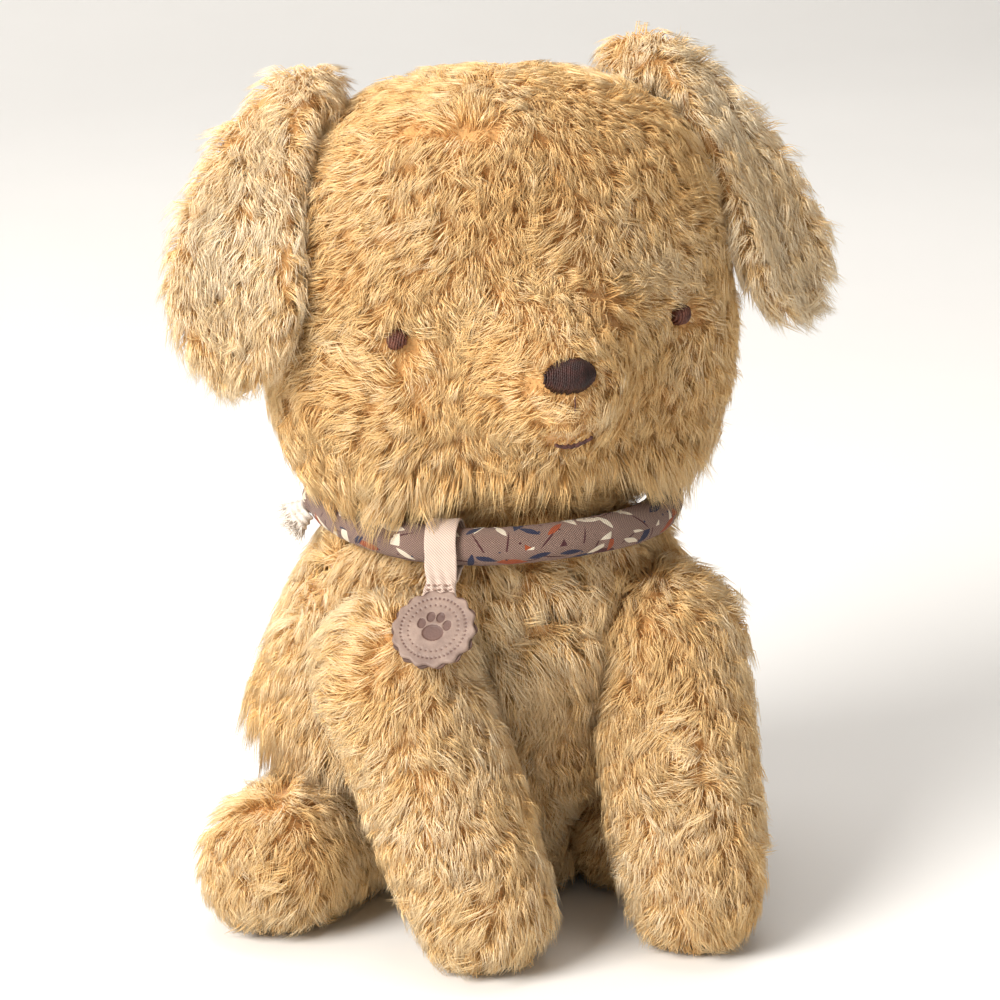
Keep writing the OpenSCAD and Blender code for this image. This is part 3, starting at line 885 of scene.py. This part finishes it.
# -------- the pile

def random_waves(count, shortest, longest):
    """Waves through space, in random directions and with lengths in metres."""
    way = unit(rng.normal(0, 1, (count, 3)))
    return way * (math.tau / rng.uniform(shortest, longest, (count, 1)))


swirl_waves = random_waves(14, 0.018, 0.06)
swirl_ways = unit(rng.normal(0, 1, (14, 3)))
swirl_phases = rng.uniform(0, math.tau, 14)
tone_waves = random_waves(10, 0.02, 0.07)
tone_phases = rng.uniform(0, math.tau, 10)


def swirl(points):
    """A smooth field of directions that gives the pile its partings and whorls."""
    return np.sin(points @ swirl_waves.T + swirl_phases) @ swirl_ways / 2.4


def tone(points):
    """A smooth field of light and dark."""
    return np.sin(points @ tone_waves.T + tone_phases).sum(1) / 4.5


def sampled(mesh, per_square_mm):
    """Roots spread evenly over a mesh: points and normals."""
    points, triangles, normals = arrays(mesh)
    a, b, c = (points[triangles[:, i]] for i in range(3))
    area = np.linalg.norm(np.cross(b - a, c - a), axis=1) / 2
    count = int(area.sum() / MM ** 2 * per_square_mm)
    edge = np.cumsum(area) / area.sum()
    which = np.searchsorted(edge, (np.arange(count) + rng.uniform(0, 1, count)) / count)
    which = np.minimum(which, len(triangles) - 1)
    s, t = rng.uniform(0, 1, (2, count))
    fold = s + t > 1
    s[fold], t[fold] = 1 - s[fold], 1 - t[fold]
    w = np.stack([1 - s - t, s, t], 1)[:, :, None]
    at = (points[triangles[which]] * w).sum(1)
    n = unit((normals[triangles[which]] * w).sum(1))
    return at, n


solid_trees = {key: tree_of(obj.data) for key, obj in skins.items()}
trim_trees = [tree_of(collar.data), tree_of(tape.data), tree_of(tag.data)]
FREE_ROOM = 0.02
ROOM_SEARCH = 0.012
COLLAR_OUTSIDE = 0.052


def room_over(key, at, n):
    """How far the pile may stand up at each root, in metres, before it meets another body.

    Two skins share the room between them. The head's pile may hang over the collar's outside.
    """
    room = np.full(len(at), FREE_ROOM)
    others = [(t, 0.55) for k, t in solid_trees.items() if k != key] + [(t, 1.0) for t in trim_trees]
    for i in range(len(at)):
        p, way = Vector(at[i]), Vector(n[i])
        for other, share in others:
            near = other.find_nearest(p, ROOM_SEARCH)
            if key == "head" and other is trim_trees[0] and math.hypot(p.x, p.y) > COLLAR_OUTSIDE:
                continue
            if near[0] is not None:
                inside = (p - near[0]).dot(near[1]) < 0
                if inside and other in solid_trees.values():
                    room[i] = 0
                    break
                hit = other.ray_cast(p + way * 0.0002, way, 0.014)
                if hit[0] is not None:
                    room[i] = min(room[i], hit[3] * share)
                room[i] = min(room[i], near[3] * (share + 0.35))
    return room


def chin_share(at):
    """1 along the front of the head's lower edge, where the pile hangs over the collar, and 0 elsewhere."""
    low = np.clip((0.161 - at[:, 2]) / 0.010, 0, 1) * (np.hypot(at[:, 0], at[:, 1]) > 0.05)
    return low * np.clip((0.066 - np.abs(at[:, 0])) / 0.02, 0, 1) * (at[:, 1] < 0)


def rump_share(at):
    """1 low on the torso's sides, where the pile hangs over the hips."""
    return np.clip((0.078 - at[:, 2]) / 0.02, 0, 1) * (np.abs(at[:, 0]) > 0.045)


def comb(key, at, n):
    """The way the pile lies at each root: down, parted round the face's embroidery, and swirled."""
    way = np.tile(DOWN, (len(at), 1))
    if key == "head":
        away = at - nose.middle
        near = np.exp(-(np.linalg.norm(away, axis=1) / 0.018) ** 2)[:, None]
        way = way * (1 - 0.5 * near) + unit(away) * near * 0.8
        way[:, :2] += 0.5 * outward(at - head_middle)[:, :2]
        for patch, reach in ((eyes["left"], 0.007), (eyes["right"], 0.005), (mouth, 0.006)):
            away = at - patch.middle
            if patch is mouth:
                away = away - patch.across * (away @ patch.across)[:, None]
            near = np.exp(-(np.linalg.norm(at - patch.middle, axis=1) / reach) ** 2)[:, None]
            way = way + unit(away) * near * 2.2
        chin = chin_share(at)[:, None]
        way = way * (1 - chin) + chin * 1.4 * DOWN
    elif "leg" in key:
        way = way + 0.35 * n
    elif key == "tail":
        way = way * 0.3 + np.array([0.0, 1.0, 0.2])
    wild = 0.26 if key == "head" else 0.18
    way = way + (0.9 if key == "head" else 0.6) * swirl(at)
    way = way - n * (way * n).sum(1, keepdims=True)
    way = unit(way) + rng.normal(0, wild, way.shape)
    way = unit(way - n * (way * n).sum(1, keepdims=True))
    if key == "torso":
        hang = rump_share(at)[:, None] * 0.8
        way = unit(way * (1 - hang) + (DOWN + 0.25 * outward(at)) * hang)
    if key == "head":
        hang = chin_share(at)[:, None] * 0.9
        way = unit(way * (1 - hang) + (DOWN + 0.3 * outward(at)) * hang)
    return way


NOWHERE_NEAR = 99
PATCH_DEPTH = 0.02


def face_trim(at):
    """Length shares near the face's embroidery: 0 where no pile grows."""
    share = np.ones(len(at))
    # Clear is where growth starts, and soft the way to full length, both in half widths.
    for patch, clear, soft in ((nose, 0.97, 0.9), (eyes["left"], 1.15, 1.9), (eyes["right"], 0.9, 1.0)):
        u, v, w = patch.place_of(at)
        e = np.hypot(u / patch.half_w, v / patch.half_h)
        e[np.abs(w) > PATCH_DEPTH] = NOWHERE_NEAR
        share = np.minimum(share, np.where(e < clear, 0.0, np.clip(0.36 + 0.64 * (e - clear) / soft, 0, 1)))
    u, v, w = mouth.place_of(at)
    mu, mv = mouth_line(np.clip((u - SMILE_SHIFT) / mouth.half_w, -1, 1))
    rise = np.where(v > mv, 0.6, 1.0)
    far = np.hypot(u - mu, (v - mv) * rise) / MM
    far[np.abs(w) > PATCH_DEPTH] = NOWHERE_NEAR
    clear = 1.5
    return np.minimum(share, np.where(far < clear, 0.0, np.clip(0.3 + 0.7 * (far - clear) / 5.0, 0, 1)))


STRANDS = 17
CLUMPS_PER_MM2 = 0.13
CLUMP_RADIUS = 0.0024
PILE_LENGTH = 0.0105
STRAND_RADIUS = 0.000115
LEAST_ROOM = 0.0009
UNDER_SHARE = 0.2
SIDES = 3
TIMES = (0.0, 0.5, 1.0)


def pile_of(key):
    """All clumps of one skin: roots, normals, directions, lengths and room."""
    rich = 1.25 if key.startswith("ear") else 1.0
    at, n = sampled(skins[key].data, CLUMPS_PER_MM2 * rich)
    room = room_over(key, at, n)
    underneath = (n[:, 2] < -0.75) & (at[:, 2] < 0.003)
    keep = (room > LEAST_ROOM) & ~underneath
    if key == "neck":
        keep &= np.abs(at[:, 2] - collar_z) < 0.02
    at, n, room = at[keep], n[keep], room[keep]
    length = np.full(len(at), PILE_LENGTH)
    if key == "head":
        length *= 0.84 + 0.3 * np.clip((0.158 - at[:, 2]) / 0.01, 0, 1) + 0.3 * chin_share(at)
        share = face_trim(at)
        at, n, room, length = (x[share > 0] for x in (at, n, room, length * share))
    if key == "torso":
        breast = np.exp(-(at[:, 0] / 0.024) ** 2 - ((at[:, 2] - 0.093) / 0.02) ** 2) * (at[:, 1] < 0)
        length *= 1 + 0.6 * rump_share(at) + 0.7 * breast
    if key.startswith("ear"):
        length *= 0.95
    length *= rng.uniform(0.75, 1.2, len(at))
    return at, n, comb(key, at, n), length, room


def strands(at, n, way, length, room, paler):
    """Paths, radii and shades of every strand of these clumps.

    A strand leaves its root at its own angle, curls, and is pulled towards its clump's middle
    strand, the guide. The under-strands are short, untidy and painted darker, and every root
    half is painted darker than its tip: painted shade deep in the pile.
    """
    clumps = len(at)
    side = np.cross(n, way)
    lift = rng.uniform(0.5, 0.76, clumps)
    lift = np.minimum(lift, room / length / 0.72)
    curl = rng.normal(0, 0.5, clumps)
    wave = rng.normal(0, 0.10, clumps)
    # paler adds this body's painted light and shade.
    base_tone = tone(at) * 0.10 + rng.normal(0, 0.06, clumps) + paler
    shape = (clumps, STRANDS)
    under = rng.uniform(0, 1, shape) < UNDER_SHARE
    r = CLUMP_RADIUS * np.sqrt(rng.uniform(0, 1, shape))
    a = rng.uniform(0, math.tau, shape)
    own_lift = np.clip(lift[:, None] * rng.normal(1, 0.12, shape), 0.04, 0.9)
    own_len = length[:, None] * rng.uniform(0.78, 1.06, shape) * np.where(under, 0.5, 1.0)
    own_turn = rng.normal(0, 0.25, shape) + np.where(under, rng.normal(0, 0.8, shape), 0.0)
    pull = np.where(under, 0.0, rng.uniform(0.1, 0.7, shape))
    root = (at[:, None] - n[:, None] * 0.0005 + (way[:, None] * (np.cos(a) * r)[..., None])
            + side[:, None] * (np.sin(a) * r)[..., None])
    own_way = way[:, None] * np.cos(own_turn)[..., None] + side[:, None] * np.sin(own_turn)[..., None]
    rows = []
    for t in TIMES:
        up = 1.75 * t - 1.10 * t * t
        on = 0.25 * t + 0.75 * t * t
        bend = curl[:, None] * t * t + wave[:, None] * math.sin(math.tau * t)

        def point(base, direction, lifted, long):
            return (base + n[:, None] * (lifted * long * up)[..., None]
                    + direction * (long * on * np.sqrt(np.maximum(0.1, 1 - 0.45 * lifted ** 2)))[..., None]
                    + side[:, None] * (long * bend * 0.5)[..., None])

        own = point(root, own_way, own_lift, own_len)
        guide = point(at[:, None], way[:, None], lift[:, None], length[:, None])
        hold = (pull * t ** 1.3)[..., None]
        rows.append(own * (1 - hold) + guide * hold)
    path = np.stack(rows, 2).reshape(-1, len(TIMES), 3)
    path[:, :, 2] = np.maximum(path[:, :, 2], 0.0007)
    thick = STRAND_RADIUS * rng.uniform(0.8, 1.25, (clumps * STRANDS, 1)) * np.array([[1.0, 0.95]])
    # Painted shade deep in the pile: under-strands 0.14 darker, and each root half 0.22 darker than its tip
    # half.
    shade = base_tone[:, None] + rng.normal(0, 0.03, shape) - np.where(under, 0.14, 0.0)
    shade = shade.reshape(-1, 1) + np.array([[0.44, 0.66]])
    return path, thick, shade


def pile_mesh(name, body, path, thick, shade):
    """One closed strand for each path: a ring at its root, a ring halfway, and a pointed tip."""
    count = len(path)
    along = unit(np.stack([path[:, 1] - path[:, 0], path[:, 2] - path[:, 0]], 1))
    helper = np.where(np.abs(along[:, :1, 2:]) < 0.9, UP, np.array([1.0, 0.0, 0.0]))
    u = unit(np.cross(along, helper))
    v = np.cross(along, u)
    spin = rng.uniform(0, math.tau, (count, 1))
    rings = []
    for k in range(SIDES):
        a = spin + math.tau * k / SIDES
        rings.append(path[:, :2] + (u * np.cos(a)[..., None] + v * np.sin(a)[..., None]) * thick[..., None])
    ring = np.stack(rings, 2)
    ring[..., 2] = np.maximum(ring[..., 2], 0.0004)
    tip = 2 * SIDES
    points = np.concatenate([ring.reshape(count, tip, 3), path[:, 2:3]], 1).reshape(-1, 3)
    quads, triangles = [], []
    for k in range(SIDES):
        m = (k + 1) % SIDES
        quads.append([k, m, SIDES + m, SIDES + k])
        triangles.append([SIDES + k, SIDES + m, tip])
    triangles.append([2, 1, 0])
    start = (np.arange(count) * (tip + 1))[:, None, None]
    quad = (np.array(quads)[None] + start).reshape(count, -1)
    tri = (np.array(triangles)[None] + start).reshape(count, -1)
    corners = np.concatenate([quad, tri], 1).reshape(-1).astype(np.int32)
    sizes = np.tile(np.array([4] * SIDES + [3] * (SIDES + 1), np.int32), count)
    begins = np.concatenate([[0], np.cumsum(sizes)[:-1]]).astype(np.int32)
    # The half at the tip takes the paler shade, and every other face the root's darker one: painted shade
    # deep in the pile.
    row = np.array([0] * SIDES + [1] * SIDES + [0])
    index = np.clip(shade[:, row] * (PILE_SHADES - 1) + 0.5, 0, PILE_SHADES - 1).astype(np.int32).reshape(-1)
    mesh = bpy.data.meshes.new(name)
    mesh.vertices.add(len(points))
    mesh.vertices.foreach_set("co", points.astype(np.float32).ravel())
    mesh.loops.add(len(corners))
    mesh.loops.foreach_set("vertex_index", corners)
    mesh.polygons.add(len(sizes))
    mesh.polygons.foreach_set("loop_start", begins)
    for mat in pile:
        mesh.materials.append(mat)
    mesh.polygons.foreach_set("material_index", index)
    mesh.polygons.foreach_set("use_smooth", np.full(len(sizes), True))
    mesh.update(calc_edges=True)
    mesh.validate()
    obj = linked(name, mesh)
    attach(obj, body)


# The most strands in a piece, so that its faces stay under the export's limit.
MOST = 19000
# Painted light and shade on each body's pile: above 0 it is painted paler and below 0 darker, to match how
# lit each part looks, as the neck in the shade under the head.
PAINTED_LIGHT_BY_BODY = {"head": 0.0, "ear_left": 0.22, "ear_right": 0.2, "neck": -0.1, "front_leg_right": 0.11,
         "front_leg_left": 0.05}
OTHERS_PAINTED_LIGHT = 0.07
for key, panels in panels_of.items():
    at, n, way, length, room = pile_of(key)
    if len(panels) > 1:
        trees = [tree_of(nodes[p].data) for p in panels]
        far = [[t.find_nearest(Vector(p))[3] for t in trees] for p in at]
        owner = np.argmin(np.array(far), axis=1)
    else:
        owner = np.zeros(len(at), int)
    for i, panel in enumerate(panels):
        mine = np.flatnonzero(owner == i)
        if not len(mine):
            continue
        mine = mine[np.argsort(at[mine, 2])]
        splits = math.ceil(len(mine) * STRANDS / MOST)
        for part, chosen in enumerate(np.array_split(mine, splits)):
            path, thick, shade = strands(at[chosen], n[chosen], way[chosen], length[chosen],
                                         room[chosen], PAINTED_LIGHT_BY_BODY.get(key, OTHERS_PAINTED_LIGHT))
            label = f"pile_{panel}" + (f"_{part + 1}" if splits > 1 else "")
            pile_mesh(label, key, path, thick, shade)


# -------- floor, light, camera

def studio():
    """A pale seamless floor that curves up behind the toy."""
    flat_to, bend = 1.2, 0.8
    profile = [(-3.0, 0.0), (flat_to, 0.0)]
    for a in np.linspace(0.1, math.pi / 2, 12):
        profile.append((flat_to + bend * math.sin(a), bend - bend * math.cos(a)))
    profile.append((flat_to + bend, 3.2))
    verts = [(x, y, z - 0.0002) for x in (-4.0, 4.0) for y, z in profile]
    count = len(profile)
    faces = [(i, count + i, count + i + 1, i + 1) for i in range(count - 1)]
    mat, tree, bsdf = shader("paper_sweep", 0.95)
    soft = noise_of(tree, place(tree), 3.0)
    paint(tree, bsdf, ramp(tree, soft, [(0.3, grey(0.86)), (0.7, grey(0.89))]))
    floor = new_object("studio_sweep", verts, faces, [mat])


def lamp(name, place_at, aim, size, power, colour):
    data = bpy.data.lights.new(name, "AREA")
    data.shape = "DISK"
    data.size = size
    data.energy = power
    data.color = colour
    obj = linked(name, data)
    obj.location = place_at
    obj.rotation_euler = (Vector(aim) - Vector(place_at)).to_track_quat("-Z", "Y").to_euler()


studio()
lamp("key", (-1.45, -0.65, 1.15), (0, 0, 0.13), 1.1, 54, (1.0, 0.96, 0.90))
lamp("top", (0.1, 0.35, 1.7), (0, 0, 0.1), 1.2, 13, (1.0, 0.97, 0.93))
lamp("fill", (1.1, -1.4, 0.5), (0, 0, 0.12), 1.2, 2, (1.0, 0.82, 0.62))
world = bpy.data.worlds.new("studio_air")
scene.world = world
world.use_nodes = True
world.node_tree.nodes["Background"].inputs["Color"].default_value = (1.0, 0.94, 0.86, 1.0)
world.node_tree.nodes["Background"].inputs["Strength"].default_value = 0.33
scene.view_settings.view_transform = "Standard"

SENSOR = 36
CAMERA_DISTANCE = 1.3
WIDTH_IN_VIEW = 0.3135
azimuth, elevation = math.radians(-18), math.radians(17)
aim = Vector((0, -0.010, 0.140))
back = Vector((math.sin(azimuth) * math.cos(elevation), -math.cos(azimuth) * math.cos(elevation),
               math.sin(elevation)))
camera_data = bpy.data.cameras.new("camera")
camera_data.sensor_width = SENSOR
camera_data.lens = SENSOR * CAMERA_DISTANCE / WIDTH_IN_VIEW
camera_data.shift_x = -0.0045
camera_data.shift_y = -0.0405
camera = linked("camera", camera_data)
camera.location = aim + back * CAMERA_DISTANCE
camera.rotation_euler = back.to_track_quat("Z", "Y").to_euler()
scene.camera = camera
